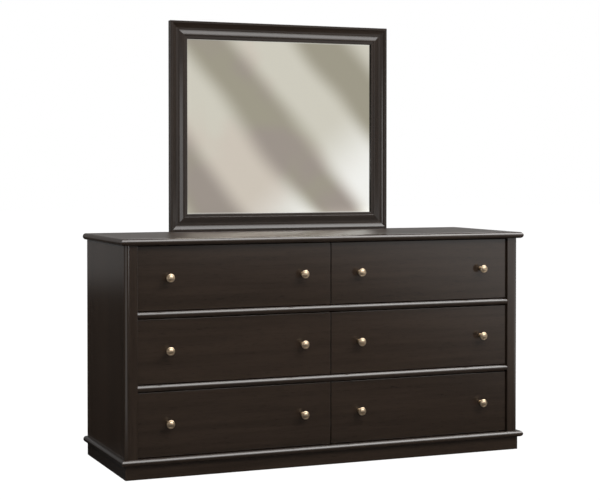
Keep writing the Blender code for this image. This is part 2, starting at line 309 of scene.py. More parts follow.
# Plinth. Three boards of solid wood stand on edge on the floor, mitred at the front corners and
# glued, with their lower edges eased. The finish that covers all the wood is made here: a dark
# espresso stain that leaves a fine, faint grain, under satin lacquer.
def node_group(name, kind, inputs, outputs):
    """A node group with named inputs and outputs, with what it is given and what it has to give."""
    tree = bpy.data.node_groups.new(name, kind)
    for label, socket_kind, value in inputs:
        socket = tree.interface.new_socket(label, in_out="INPUT", socket_type=socket_kind)
        if value is not None:
            socket.default_value = value
    for label, socket_kind in outputs:
        tree.interface.new_socket(label, in_out="OUTPUT", socket_type=socket_kind)
    return tree, tree.nodes.new("NodeGroupInput").outputs, tree.nodes.new("NodeGroupOutput").inputs


def noise(tree, vector, scale, detail, roughness=0.5, distortion=0.0):
    """One noise texture's value."""
    inputs = {"Vector": vector, "Scale": scale, "Detail": detail, "Roughness": roughness}
    inputs["Distortion"] = distortion
    return step(tree, "ShaderNodeTexNoise", inputs).outputs["Fac"]


def blend(tree, share, first, second):
    """One colour mixed into another."""
    return step(tree, "ShaderNodeMix", {"Factor": share, 6: first, 7: second}, data_type="RGBA").outputs[2]


def relief(tree, height, strength, distance):
    """The normal of a surface that a height raises."""
    inputs = {"Height": height, "Strength": strength, "Distance": distance}
    return step(tree, "ShaderNodeBump", inputs).outputs[0]


def surfaced(tree, inputs):
    """Ends a material's tree in one shader."""
    shader = step(tree, "ShaderNodeBsdfPrincipled", inputs)
    step(tree, "ShaderNodeOutputMaterial", {"Surface": shader.outputs[0]})


# Effects that every wood shares: its grain, the traces of hands and its lighter edges, partly wear and
# partly a painted highlight.
value_kind, vector_kind = "NodeSocketFloat", "NodeSocketVector"
timber_grain, given, wanted = node_group(
    "timber_grain",
    "ShaderNodeTree",
    (
        ("Stretch", vector_kind, (0.05, 1, 1)),
        ("Shift", vector_kind, (0, 0, 0)),
        ("Streaks per Metre", value_kind, 45),
        ("Pores per Metre", value_kind, 700),
    ),
    (("Tone", value_kind), ("Pores", value_kind), ("Height", value_kind)),
)
tree = timber_grain
mapping = {"Vector": own_place(tree), "Location": given["Shift"], "Scale": given["Stretch"]}
laid = step(tree, "ShaderNodeMapping", mapping).outputs[0]
wander = step(tree, "ShaderNodeTexNoise", {"Vector": laid, "Scale": 7, "Detail": 1}).outputs["Color"]
drift = vector_of(tree, "SUBTRACT", wander, (0.5, 0.5, 0.5))
bent = vector_of(tree, "MULTIPLY_ADD", drift, (0.03, 0.03, 0.03), laid)
streaks = noise(tree, bent, given["Streaks per Metre"], 5, 0.62)
tone = total(tree, (streaks, 0.65), (noise(tree, laid, 9, 2), 0.35))
tree.links.new(ramp(tree, tone, 0.34, 0.66), wanted["Tone"])
pores = ramp(tree, noise(tree, bent, given["Pores per Metre"], 2, 0.6), 0.56, 0.72)
tree.links.new(pores, wanted["Pores"])
height = math_of(tree, "SUBTRACT", product(tree, streaks, 0.25), pores)
tree.links.new(height, wanted["Height"])

handled_surface, given, wanted = node_group(
    "handled_surface",
    "ShaderNodeTree",
    (("Amount", value_kind, 0.06),),
    (("Roughness Change", value_kind),),
)
tree = handled_surface
place = own_place(tree)
uneven = total(tree, (noise(tree, place, 5, 3), 1.2), (noise(tree, place, 60, 4, 0.6), 0.8))
uneven = math_of(tree, "SUBTRACT", uneven, 1.0)
tree.links.new(product(tree, uneven, given["Amount"]), wanted["Roughness Change"])

worn_edges_painted_highlight, given, wanted = node_group(
    "worn_edges_painted_highlight", "ShaderNodeTree", (("Radius", value_kind, 0.002),), (("Edge", value_kind),)
)
tree = worn_edges_painted_highlight
rounded_normal = step(tree, "ShaderNodeBevel", {"Radius": given["Radius"]}, samples=4).outputs[0]
own_normal = step(tree, "ShaderNodeNewGeometry").outputs["Normal"]
near_edge = ramp(tree, along_axis(tree, rounded_normal, own_normal), 0.999, 0.93)
broken = ramp(tree, noise(tree, own_place(tree), 120, 3), 0.35, 0.65)
tree.links.new(product(tree, near_edge, broken), wanted["Edge"])

stretch_along = {"x": (0.045, 1, 1), "y": (1, 0.045, 1), "z": (1, 1, 0.045)}
pore_share = 0.55
pore_roughness = 0.06
worn_and_highlight_share = 0.4
worn_and_highlight_gain = 2.2
grain_relief = 0.00012
grain_strength = 0.5
bare_specular = 0.04
satin = 0.13


def wood_finish(name, direction, tones, roughness, coat, shift=0.0, sheen=satin):
    """A wood surface with its grain along one axis, and lacquer as thick as the coat says."""
    dark, light, pore = tones
    made = bpy.data.materials.new(name)
    tree = emptied(made)
    lay = {"Stretch": stretch_along[direction], "Shift": (shift, shift * 0.7, shift * 1.3)}
    grain = step(tree, "ShaderNodeGroup", lay, node_tree=timber_grain).outputs
    edges = step(tree, "ShaderNodeGroup", node_tree=worn_edges_painted_highlight).outputs
    hands = step(tree, "ShaderNodeGroup", node_tree=handled_surface).outputs
    colour = blend(tree, grain["Tone"], dark, light)
    colour = blend(tree, product(tree, grain["Pores"], pore_share), colour, pore)
    # Edges are lightened, partly as wear and partly as a painted highlight.
    worn_and_highlight_tone = tuple(min(1.0, channel * worn_and_highlight_gain) for channel in light[:3]) + (1,)
    colour = blend(tree, product(tree, edges["Edge"], worn_and_highlight_share), colour, worn_and_highlight_tone)
    rough = total(tree, (hands["Roughness Change"],), (roughness,), (grain["Pores"], pore_roughness))
    surfaced(
        tree,
        {
            "Base Color": colour,
            "Roughness": rough,
            "Normal": relief(tree, grain["Height"], grain_strength, grain_relief),
            "Coat Weight": coat,
            "Coat Roughness": sheen,
            "Specular IOR Level": bare_specular,
        },
    )
    return made


espresso_dark = (0.0226, 0.0149, 0.0103)
espresso_light = (0.0330, 0.0218, 0.0152)
espresso_pore = (0.006, 0.0045, 0.0036, 1)
espresso_roughness = 0.45


def espresso(name, direction, shift=0.0, sheen=satin, coat=1.0, depth=1.0):
    """The dark stain and satin lacquer of the outside; a depth under 1 darkens it as painted shade."""
    dark = tuple(channel * depth for channel in espresso_dark) + (1,)
    light = tuple(channel * depth for channel in espresso_light) + (1,)
    return wood_finish(name, direction, (dark, light, espresso_pore), espresso_roughness, coat, shift, sheen)


small_radius = 0.003
touching = 1e-6


def rounded(corners):
    """Points of a closed outline whose corners, each (x, y, radius), are rounded by arcs."""
    points = []
    for i, (x, y, radius) in enumerate(corners):
        corner = Vector((x, y))
        if not radius:
            points.append(corner)
            continue
        back = (Vector(corners[i - 1][:2]) - corner).normalized()
        forth = (Vector(corners[(i + 1) % len(corners)][:2]) - corner).normalized()
        half = back.angle(forth) / 2
        centre = corner + (back + forth).normalized() * (radius / math.sin(half))
        first = corner + back * (radius / math.tan(half)) - centre
        last = corner + forth * (radius / math.tan(half)) - centre
        steps = 4 if radius < small_radius else 14
        points += [centre + first.slerp(last, j / steps) * radius for j in range(steps + 1)]
    return [tuple(p) for i, p in enumerate(points) if (p - points[i - 1]).length > touching]


def drawn(name, points, closed=True):
    """A flat outline as a curve, for a node tree to sweep or turn."""
    curve = bpy.data.curves.new(name, "CURVE")
    curve.dimensions = "2D"
    curve.fill_mode = "NONE"
    line = curve.splines.new("POLY")
    line.points.add(len(points) - 1)
    for point, (x, y) in zip(line.points, points):
        point.co = (x, y, 0, 1)
    line.use_cyclic_u = closed
    return put_in(name, curve)


object_kind, whole_kind, material_kind = "NodeSocketObject", "NodeSocketInt", "NodeSocketMaterial"


def grow_tree(name, inputs):
    """A geometry node tree with named inputs, a finish among them."""
    finish = ("Finish", material_kind, None)
    return node_group(name, "GeometryNodeTree", (*inputs, finish), (("Geometry", "NodeSocketGeometry"),))


def geometry_of(tree, source):
    """The geometry of an object that a tree is given."""
    return step(tree, "GeometryNodeObjectInfo", {"Object": source}).outputs["Geometry"]


def scaled(tree, vector, amount):
    """A vector made longer or shorter."""
    inputs = {0: vector, "Scale": amount}
    return step(tree, "ShaderNodeVectorMath", inputs, operation="SCALE").outputs[0]


def end_tree(tree, given, wanted, geometry):
    """Ends a geometry node tree in real geometry that wears its finish."""
    real = step(tree, "GeometryNodeRealizeInstances", {0: geometry})
    coloured = step(tree, "GeometryNodeSetMaterial", {0: real.outputs[0], "Material": given["Finish"]})
    tree.links.new(coloured.outputs[0], wanted["Geometry"])


member_tree, given, wanted = grow_tree(
    "shaped_member",
    (
        ("Section", object_kind, None),
        ("Start", vector_kind, (0, 0, 0)),
        ("End", vector_kind, (1, 0, 0)),
        ("Section X", vector_kind, (0, 1, 0)),
        ("Section Y", vector_kind, (0, 0, 1)),
        ("Start Mitre", value_kind, 0.0),
        ("End Mitre", value_kind, 0.0),
    ),
)
tree = member_tree
line = step(tree, "GeometryNodeCurvePrimitiveLine", {"End": (0, 0, 1)}).outputs[0]
sweep = {"Curve": line, "Profile Curve": geometry_of(tree, given["Section"]), "Fill Caps": True}
swept = step(tree, "GeometryNodeCurveToMesh", sweep).outputs[0]
place = step(tree, "GeometryNodeInputPosition").outputs[0]
spot = step(tree, "ShaderNodeSeparateXYZ", {0: place}).outputs
run = vector_of(tree, "SUBTRACT", given["End"], given["Start"])
here = vector_of(tree, "ADD", given["Start"], scaled(tree, run, spot["Z"]))
here = vector_of(tree, "ADD", here, scaled(tree, given["Section X"], spot["X"]))
here = vector_of(tree, "ADD", here, scaled(tree, given["Section Y"], spot["Y"]))
near_start = product(tree, math_of(tree, "SUBTRACT", 1.0, spot["Z"]), given["Start Mitre"])
near_end = product(tree, spot["Z"], given["End Mitre"])
slant = product(tree, math_of(tree, "SUBTRACT", near_start, near_end), spot["X"])
here = vector_of(tree, "ADD", here, scaled(tree, vector_of(tree, "NORMALIZE", run), slant))
moved = step(tree, "GeometryNodeSetPosition", {"Geometry": swept, "Position": here}).outputs[0]
end_tree(tree, given, wanted, moved)

crease = math.radians(50)


def light_evenly(mesh):
    """Corner normals that keep flat faces flat and let small round faces run smoothly into them."""
    around = [[] for _ in mesh.vertices]
    for face in mesh.polygons:
        for corner in face.vertices:
            around[corner].append(face)
    normals = []
    for face in mesh.polygons:
        for corner in face.vertices:
            mean = Vector()
            for other in around[corner]:
                if other.normal.dot(face.normal) > math.cos(crease):
                    mean += other.normal * other.area
            normals.append(mean.normalized())
    mesh.shade_smooth()
    mesh.normals_split_custom_set(normals)


def set_down(name, shape):
    """Turns a finished shape into an object."""
    mesh = bpy.data.meshes.new(name)
    shape.to_mesh(mesh)
    shape.free()
    return put_in(name, mesh)


def settle(name, shape, finish, body, stands_for=()):
    """Turns a finished shape into a piece that rides on its body."""
    piece = set_down(name, shape)
    piece.data.materials.clear()
    piece.data.materials.append(finish)
    light_evenly(piece.data)
    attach(piece, body)
    if stands_for:
        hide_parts(*stands_for)
    return piece


def grown(name, tree, **values):
    """The tree's mesh as a bmesh, closed and with its faces outwards."""
    carrier = put_in(name + "_carrier", bpy.data.meshes.new(name))
    modifier = carrier.modifiers.new("tree", "NODES")
    modifier.node_group = tree
    sockets = tree.interface.items_tree
    for label, value in values.items():
        modifier[sockets[label.replace("_", " ")].identifier] = value
    graph = bpy.context.evaluated_depsgraph_get()
    mesh = bpy.data.meshes.new_from_object(carrier.evaluated_get(graph))
    carrier.modifiers.remove(modifier)
    bpy.data.objects.remove(carrier)
    shape = bmesh.new()
    shape.from_mesh(mesh)
    bmesh.ops.remove_doubles(shape, verts=shape.verts, dist=touching)
    bmesh.ops.recalc_face_normals(shape, faces=shape.faces)
    return shape


def sawn(name, section, ends, axes, finish, mitres=(0, 0)):
    """A length of moulding, board or strip of one section, square or mitred at its ends."""
    return grown(
        name,
        member_tree,
        Section=section,
        Start=ends[0],
        End=ends[1],
        Section_X=axes[0],
        Section_Y=axes[1],
        Start_Mitre=float(mitres[0]),
        End_Mitre=float(mitres[1]),
        Finish=finish,
    )


def member(name, section, ends, axes, finish, mitres=(0, 0), stands_for=()):
    """A fixed length of the outside's wood."""
    shape = sawn(name, section, ends, axes, finish, mitres)
    return settle(name, shape, finish, "carcass", stands_for)


sides = {"left": -1, "right": 1}
hairline = 0.00015


def around_the_front(name, section, low, high, back, finishes, node=None):
    """Boards or mouldings round the front and both sides, mitred at the front corners."""
    half, front, base = high.x, low.y, low.z
    ends = ((hairline - half, front, base), (half - hairline, front, base))
    runs = [("front", ends, (0, 1, 0), finishes[0], (1, 1))]
    for word, side in sides.items():
        ends = ((side * half, front + hairline, base), (side * half, back, base))
        runs.append((word, ends, (-side, 0, 0), finishes[1], (1, 0)))
    for word, ends, inwards, finish, mitres in runs:
        stands_for = (f"{node}_{word}",) if node else ()
        member(f"{name}_{word}", section, ends, (inwards, (0, 0, 1)), finish, mitres, stands_for)


espresso_x = espresso("espresso_grain_along_x", "x")
# The plinth's side boards and the base moulding's sides wear a darker copy of the espresso: painted shade.
espresso_y_painted_shade = espresso("espresso_grain_along_y_painted_shade", "y", 0.31, coat=0.75, depth=0.5)

low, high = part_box("plinth_front")
base_half = high.x
board_thickness, board_height = high.y - low.y, high.z
board_ease = 0.0004
carcass_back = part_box("side_panel_left")[1].y
plinth_corners = (
    (0, 0, board_ease),
    (board_thickness, 0, board_ease),
    (board_thickness, board_height, 0),
    (0, board_height, 0),
)
plinth_section = drawn("plinth_section", rounded(plinth_corners))
outside_finishes = (espresso_x, espresso_y_painted_shade)
around_the_front("plinth_board", plinth_section, low, high, carcass_back, outside_finishes, "plinth")


# Bottom panel and base moulding. The panel lies on the plinth and carries the lowest drawers. A
# half-round moulding, mitred at the front corners, is glued to its edge on three sides.
cad_touching = 1e-5
flat_angle = math.radians(1)
bottom_ease = 0.0008


def board_from(node, name, finish, body, ease, cuts=(), stands_in=True):
    """The CAD board, or what is left of it beyond each cut's point and direction, with eased edges."""
    shape = bmesh.new()
    shape.from_mesh(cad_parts[node].data)
    bmesh.ops.remove_doubles(shape, verts=shape.verts, dist=cad_touching)
    for point, away in cuts:
        geometry = shape.verts[:] + shape.edges[:] + shape.faces[:]
        made = bmesh.ops.bisect_plane(shape, geom=geometry, plane_co=point, plane_no=away, clear_outer=True)
        rim = [e for e in made["geom_cut"] if isinstance(e, bmesh.types.BMEdge)]
        bmesh.ops.edgenet_fill(shape, edges=rim)
    bmesh.ops.recalc_face_normals(shape, faces=shape.faces)
    bmesh.ops.dissolve_limit(shape, angle_limit=flat_angle, verts=shape.verts, edges=shape.edges)
    edges = [e for e in shape.edges if e.calc_face_angle(0) > crease]
    bmesh.ops.bevel(shape, geom=edges, offset=ease, segments=2, profile=0.5, affect="EDGES")
    return settle(name, shape, finish, body, (node,) if stands_in else ())


def half_round(name, low, high, depth):
    """A moulding's section: a half-round nose at x = 0, and a square root behind it."""
    radius = (high.z - low.z) / 2
    corners = ((0, 0, radius), (0, 2 * radius, radius), (depth, 2 * radius, 0), (depth, 0, 0))
    return drawn(name, rounded(corners))


board_from("bottom_panel", "carcass_bottom", espresso_x, "carcass", bottom_ease)
low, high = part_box("base_moulding_front")
base_section = half_round("base_section", low, high, high.x - base_half - hairline)
around_the_front("half_round_base", base_section, low, high, carcass_back, outside_finishes, "base_moulding")

# Sides. Veneered panels stand on the bottom panel, rabbeted for the back. Solid stiles, with a
# rounded outer corner, are glued over their front edges and leave a fine joint line on the side.
side_thickness = 0.018
side_ease = 0.0002
stile_radius = 0.0160
stile_lip = 0.0164
stile_ease = 0.001
espresso_z = espresso("espresso_grain_upright", "z", 0.57)
stile_finish = espresso("espresso_stile", "z", 0.92, depth=1.03)
tongue = side_thickness + 2 * hairline
for word, side in sides.items():
    low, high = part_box(f"front_stile_{word}")
    joint = ((0, low.y + stile_lip + hairline, 0), (0, -1, 0))
    board_from(
        f"side_panel_{word}",
        f"veneered_side_{word}",
        espresso_z,
        "carcass",
        side_ease,
        cuts=(joint,),
    )
    width, depth = high.x - low.x, high.y - low.y
    stile_corners = (
        (0, 0, stile_radius),
        (width, 0, stile_ease),
        (width, depth, stile_ease),
        (tongue, depth, 0),
        (tongue, stile_lip, 0),
        (0, stile_lip, 0),
    )
    section = drawn(f"stile_section_{word}", rounded(stile_corners))
    outer = high.x if side > 0 else low.x
    ends = ((outer, low.y, low.z), (outer, low.y, high.z))
    axes = ((-side, 0, 0), (0, 1, 0))
    member(f"stile_{word}", section, ends, axes, stile_finish, stands_for=(f"front_stile_{word}",))

# Inside. An upright partition parts the two banks of drawers, and half-round rails part the rows.
# Each drawer runs on a waxed centre guide. A hardboard back is stapled into the sides' rabbets.
for word in ("lower", "upper"):
    node = f"drawer_rail_{word}"
    low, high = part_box(node)
    section = half_round(f"rail_section_{word}", low, high, high.y - low.y)
    ends = ((low.x, low.y, low.z), (high.x, low.y, low.z))
    member(f"half_round_rail_{word}", section, ends, ((0, 1, 0), (0, 0, 1)), espresso_x, stands_for=(node,))

birch_tones = ((0.46, 0.31, 0.17, 1), (0.62, 0.45, 0.27, 1), (0.36, 0.22, 0.11, 1))
waxed_tones = ((0.34, 0.22, 0.12, 1), (0.50, 0.35, 0.21, 1), (0.25, 0.15, 0.08, 1))
birch = wood_finish("clear_birch", "y", birch_tones, roughness=0.5, coat=0.0, shift=0.9)
birch_x = wood_finish("clear_birch_across", "x", birch_tones, roughness=0.5, coat=0.0, shift=0.4)
waxed = wood_finish("waxed_guide_wood", "y", waxed_tones, roughness=0.4, coat=0.1, shift=0.2)
partition_ease = 0.0006
guide_ease = 0.001
board_from("centre_partition", "upright_partition", birch, "carcass", partition_ease)
bays = [f"{row}_{word}" for row in ("lower", "middle", "upper") for word in sides]
for bay in bays:
    board_from(f"{bay}_guide", f"{bay}_centre_guide", waxed, "carcass", guide_ease)

hardboard_tones = ((0.055, 0.033, 0.020, 1), (0.125, 0.080, 0.050, 1))
hardboard_ease = 0.0004
hardboard = bpy.data.materials.new("dark_hardboard")
tree = emptied(hardboard)
fibres = noise(tree, own_place(tree), 900, 3, 0.7, 0.6)
board_tone = total(tree, (fibres, 0.85), (noise(tree, own_place(tree), 5, 3), 0.15))
colour = blend(tree, ramp(tree, board_tone, 0.35, 0.65), *hardboard_tones)
surfaced(tree, {"Base Color": colour, "Roughness": 0.72, "Normal": relief(tree, fibres, 0.4, 0.0002)})
board_from("back_panel", "hardboard_back", hardboard, "carcass", hardboard_ease)

# Top. A veneered board with a solid half-round nose glued to its front and sides, mitred at the
# front corners. It is screwed down from inside.
nose_depth = 0.034
field_ease = 0.0003
top_finish = espresso("espresso_top", "x", 0.83, sheen=0.38)
nose_side_finish = espresso("espresso_top_sides", "y", 0.83, sheen=0.35)
low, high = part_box("top_panel")
nose_section = half_round("nose_section", low, high, nose_depth)
around_the_front("top_nose", nose_section, low, high, high.y, (espresso_x, nose_side_finish))
field_low = Vector((low.x + nose_depth + hairline, low.y + nose_depth + hairline, low.z))
field_high = Vector((high.x - nose_depth - hairline, high.y, high.z))
shape = bmesh.new()
bmesh.ops.create_cube(shape, size=1)
for vertex in shape.verts:
    vertex.co = [a + (b - a) * (c + 0.5) for a, b, c in zip(field_low, field_high, vertex.co)]
bmesh.ops.bevel(shape, geom=shape.edges[:], offset=field_ease, segments=1, affect="EDGES")
settle("top_field", shape, top_finish, "carcass", ("top_panel",))

# Drawers. Each has a lacquered slab front with eased edges, a birch box of two sides and a back, and
# a thin bottom let into grooves.
box_wall = 0.012
front_ease = 0.0004
box_ease = 0.0012
floor_ease = 0.0003
face_finish = espresso("espresso_drawer_face", "x", 1.7)
for bay in bays:
    drawer = f"{bay}_drawer"
    box = f"{drawer}_box"
    low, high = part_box(box)
    left, right = low.x + box_wall, high.x - box_wall
    board_from(f"{drawer}_front", f"{bay}_slab_front", face_finish, drawer, front_ease)
    back_cuts = (((left + hairline, 0, 0), (-1, 0, 0)), ((right - hairline, 0, 0), (1, 0, 0)))
    board_from(box, f"{bay}_box_back", birch_x, drawer, box_ease, back_cuts)
    for word, cut in (("left", ((left, 0, 0), (1, 0, 0))), ("right", ((right, 0, 0), (-1, 0, 0)))):
        wall = f"{bay}_box_side_{word}"
        board_from(box, wall, birch, drawer, box_ease, (cut,), stands_in=False)
    board_from(f"{drawer}_bottom", f"{bay}_drawer_floor", birch_x, drawer, floor_ease)

# Knobs. Each is turned from solid brass and aged: a small foot, a waisted neck, and a head with a
# rolled rim, a fine groove inside it and a shallow dome. The neck and foot are painted dark, as
# painted shade under the head. A screw through the front holds it.
turned_tree, given, wanted = grow_tree(
    "turned_piece",
    (("Outline", object_kind, None), ("Sides", whole_kind, 48), ("Seat", vector_kind, (0, 0, 0))),
)
tree = turned_tree
outline = geometry_of(tree, given["Outline"])
size = step(tree, "GeometryNodeAttributeDomainSize", {0: outline}, component="CURVE")
count = size.outputs["Point Count"]
columns = step(tree, "FunctionNodeIntegerMath", {0: given["Sides"], 1: 1}, operation="ADD").outputs[0]
grid = step(tree, "GeometryNodeMeshGrid", {"Vertices X": columns, "Vertices Y": count}).outputs[0]
number = step(tree, "GeometryNodeInputIndex").outputs[0]
ring = step(tree, "FunctionNodeIntegerMath", {0: number, 1: count}, operation="MODULO").outputs[0]
turn = step(tree, "FunctionNodeIntegerMath", {0: number, 1: count}, operation="DIVIDE_FLOOR").outputs[0]
place = step(tree, "GeometryNodeInputPosition").outputs[0]
taken = {0: outline, 1: place, 2: ring}
sample = step(tree, "GeometryNodeSampleIndex", taken, data_type="FLOAT_VECTOR", domain="POINT").outputs[0]
point = step(tree, "ShaderNodeSeparateXYZ", {0: sample}).outputs
angle = product(tree, math_of(tree, "DIVIDE", turn, given["Sides"]), 2 * math.pi)
spun = step(
    tree,
    "ShaderNodeCombineXYZ",
    {
        "X": product(tree, point["X"], math_of(tree, "COSINE", angle)),
        "Y": product(tree, point["Y"], -1.0),
        "Z": product(tree, point["X"], math_of(tree, "SINE", angle)),
    },
).outputs[0]
here = vector_of(tree, "ADD", spun, given["Seat"])
moved = step(tree, "GeometryNodeSetPosition", {"Geometry": grid, "Position": here}).outputs[0]
closed = step(tree, "GeometryNodeMergeByDistance", {0: moved, "Distance": 0.00001}).outputs[0]
end_tree(tree, given, wanted, closed)

# Painted shade darkens the brass on the neck and foot, from behind the head to the seat; hollows and spots
# darken as patina.
knob_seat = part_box("lower_left_knob_left")[1].y
neck_shade_marks = [knob_seat + reach for reach in (-0.0232, -0.0207, 0.0023, 0.0083)]
brass_tones = ((0.60, 0.465, 0.322, 1), (0.17, 0.11, 0.055, 1))
brass_roughness = 0.30
hollow_tarnish = 0.75
spot_tarnish = 0.35
painted_neck_shade = 0.85
brass = bpy.data.materials.new("aged_brass")
tree = emptied(brass)
place = own_place(tree)
cavity = step(tree, "ShaderNodeAmbientOcclusion", {"Distance": 0.004}, samples=6).outputs["AO"]
spots = noise(tree, place, 260, 4, 0.6)
in_hollows = product(tree, ramp(tree, cavity, 0.85, 0.35), hollow_tarnish)
in_spots = product(tree, ramp(tree, spots, 0.55, 0.8), spot_tarnish)
# Painted shade: the neck and foot are darkened where the head shades them.
painted_shade_on_neck = window(tree, along_axis(tree, place, (0, 1, 0)), *neck_shade_marks)
painted_shade_on_neck = product(tree, painted_shade_on_neck, painted_neck_shade)
tarnish_and_painted_shade = math_of(tree, "MAXIMUM", math_of(tree, "MAXIMUM", in_hollows, in_spots), painted_shade_on_neck)
turning = relief(tree, noise(tree, place, 1800, 1), 0.08, 0.0001)
surfaced(
    tree,
    {
        "Base Color": blend(tree, tarnish_and_painted_shade, *brass_tones),
        "Metallic": 1.0,
        "Roughness": total(tree, (spots, 0.16), (brass_roughness,)),
        "Normal": turning,
    },
)


def arc(centre, radii, begin, finish, steps):
    """Points along an elliptical arc, from one angle to another in degrees."""
    angles = [math.radians(begin + (finish - begin) * i / steps) for i in range(steps + 1)]
    return [(centre[0] + radii[0] * math.cos(a), centre[1] + radii[1] * math.sin(a)) for a in angles]


knob_length = 0.031
knob_sides = 48
head_radius = 0.0141
rim_radius = 0.0023
rim_middle = 0.0264
neck_radius = 0.0044
neck_height = 0.0125
foot_radius = 0.0076
foot_height = 0.002
foot_ease = 0.0006
foot_cut = 0.0004
hollow_inset = 0.0008
hollow_middle = foot_height + 0.0025
hollow_height = 0.0024
groove_radius = head_radius - 2 * rim_radius + 0.0004
groove_width = 0.0007
groove_depth = 0.0005
dome_base = rim_middle + 0.0022
dome_radius = groove_radius - 0.0008
rim_centre = head_radius - rim_radius
hollow_edge = foot_radius - hollow_inset
profile = [(0, 0), (foot_radius - foot_cut, 0)]
profile += arc((foot_radius - foot_ease, foot_height - foot_ease), (foot_ease, foot_ease), -60, 80, 4)
profile += arc((hollow_edge, hollow_middle), (hollow_edge - neck_radius, hollow_height), 265, 185, 6)
flare = (rim_centre - neck_radius, rim_middle - rim_radius - neck_height)
profile += arc((rim_centre, neck_height), flare, 178, 95, 10)
profile += arc((rim_centre, rim_middle), (rim_radius, rim_radius), -70, 105, 12)
profile += arc((groove_radius, dome_base), (groove_width, groove_depth), 10, -160, 6)
profile += arc((0, dome_base), (dome_radius, knob_length - dome_base), 4, 90, 12)
knob_outline = drawn("knob_outline", [(max(x, 0.0), y) for x, y in profile], closed=False)


def behind_middle_of(node, depth):
    """The point at one depth of the piece that lies behind the middle of a node."""
    low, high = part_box(node)
    return ((low.x + high.x) / 2, depth, (low.z + high.z) / 2)


for bay in bays:
    for hand in sides:
        node = f"{bay}_knob_{hand}"
        name = f"{bay}_turned_knob_{hand}"
        seat = behind_middle_of(node, knob_seat)
        shape = grown(node, turned_tree, Outline=knob_outline, Sides=knob_sides, Seat=seat, Finish=brass)
        settle(name, shape, brass, f"{bay}_drawer", (node,))

# Mirror frame. Four lengths of one moulding, mitred and glued at the corners. From its outer edge
# inwards the face has a flat band, a cove that sinks back, a broad swell and a narrow lip.
frame_depth = 0.028
frame_width = 0.0637
edge_radius = 0.0015
band_width = 0.007
shoulder_radius = 0.005
shoulder_slope = math.radians(30)
slope_width = 0.0018
cove_radius = 0.035
cove_floor = 0.0014
swell_width = 0.0220
swell_tilt = math.radians(16)
swell_fullness = 0.75
swell_steps = 20
turn_width = 0.0008
turn_height = 0.0018
lip_step = (0.0005, 0.0003)
lip_fall = 0.0004
underside = 0.0148
rabbet = frame_width - 0.006
edge_radii = (edge_radius, edge_radius)
points = [(0, 0.0), *arc((edge_radius, frame_depth - edge_radius), edge_radii, 180, 90, 6)]
shoulder_middle = (band_width, frame_depth - shoulder_radius)
points += arc(shoulder_middle, (shoulder_radius, shoulder_radius), 90, 60, 6)
cove_x = points[-1][0] + slope_width + cove_radius * math.sin(shoulder_slope)
cove_y = points[-1][1] - slope_width * math.tan(shoulder_slope) + cove_radius * math.cos(shoulder_slope)
points += arc((cove_x, cove_y), (cove_radius, cove_radius), 240, 270, 12)
height = points[-1][1]
points.append((cove_x + cove_floor, height))
for i in range(1, swell_steps + 1):
    share = i / swell_steps
    slope = math.tan(swell_tilt * math.sin(math.pi * share) ** swell_fullness)
    height += slope * swell_width / swell_steps
    points.append((cove_x + cove_floor + swell_width * share, height))
swell_end = points[-1][0]
points += arc((swell_end, height - turn_height), (turn_width, turn_height), 80, 5, 6)
lip_high = points[-1][1] - lip_step[1]
points.append((swell_end + turn_width + lip_step[0], lip_high))
points += arc((frame_width - edge_radius, lip_high - lip_fall - edge_radius), edge_radii, 85, 0, 5)
points += [(frame_width, underside), (rabbet, underside), (rabbet, 0)]
frame_section = drawn("frame_section", points)


def frame_member(word, ends, inwards, finish):
    """One length of the frame, mitred at both ends."""
    node = f"mirror_frame_{word}"
    member(f"frame_member_{word}", frame_section, ends, (inwards, (0, -1, 0)), finish, (1, 1), (node,))


# The frame wears a darker copy of the espresso: painted shade for the shade that falls across its moulding.
frame_across = espresso("espresso_frame_along_x", "x", 1.2, sheen=0.10, coat=0.7, depth=0.75)
frame_upright = espresso("espresso_frame_upright", "z", 1.4, sheen=0.10, coat=0.7, depth=0.75)
low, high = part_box("mirror_frame_left")
half_mirror, mirror_back = -low.x, high.y
mirror_low, mirror_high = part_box("mirror_frame_bottom")[0].z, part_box("mirror_frame_top")[1].z
for word, z, inwards in (("bottom", mirror_low, 1), ("top", mirror_high, -1)):
    ends = ((hairline - half_mirror, mirror_back, z), (half_mirror - hairline, mirror_back, z))
    frame_member(word, ends, (0, 0, inwards), frame_across)
for word, side in sides.items():
    x = side * half_mirror
    ends = ((x, mirror_back, mirror_low + hairline), (x, mirror_back, mirror_high - hairline))
    frame_member(word, ends, (-side, 0, 0), frame_upright)

# Mirror glass. Silvered plate glass whose front is ground to a shallow bevel all round. It lies in
# the frame's rabbet behind the lip, with a hardboard back.
bevel_width = 0.0095
bevel_drop = 0.00005
# The glass's colour is painted reflection. Soft diagonal light and dark bands and a near-white lower right
# corner stand in for the studio that the mirror reflects.
band_spacing = 0.359
band_offset = 0.0270
band_sway = 0.10
band_direction = (0.7559, 0.0, 0.6547)
downhill = (0.6547, 0.0, -0.7559)
painted_reflection_light_tones = ((0.70, 0.675, 0.58, 1), (0.69, 0.625, 0.54, 1))
painted_reflection_dark_tones = ((0.385, 0.36, 0.28, 1), (0.375, 0.33, 0.29, 1))
painted_reflection_corner_tone = (1.0, 1.0, 0.96, 1)
painted_bevel_highlight_tone = (1.0, 1.0, 0.95, 1)
painted_bevel_highlight_share = 0.3
glass_low, glass_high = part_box("mirror_glass")
silver = bpy.data.materials.new("silvered_glass")
tree = emptied(silver)
centred = {"Vector": own_place(tree), "Location": -(glass_low + glass_high) / 2}
place = step(tree, "ShaderNodeMapping", centred).outputs[0]
across = along_axis(tree, place, band_direction)
sway = math_of(tree, "SUBTRACT", noise(tree, place, 2.2, 1), 0.5)
phase = total(tree, (sway, band_sway), (across,), (band_offset,))
wave = math_of(tree, "COSINE", product(tree, phase, 2 * math.pi / band_spacing))
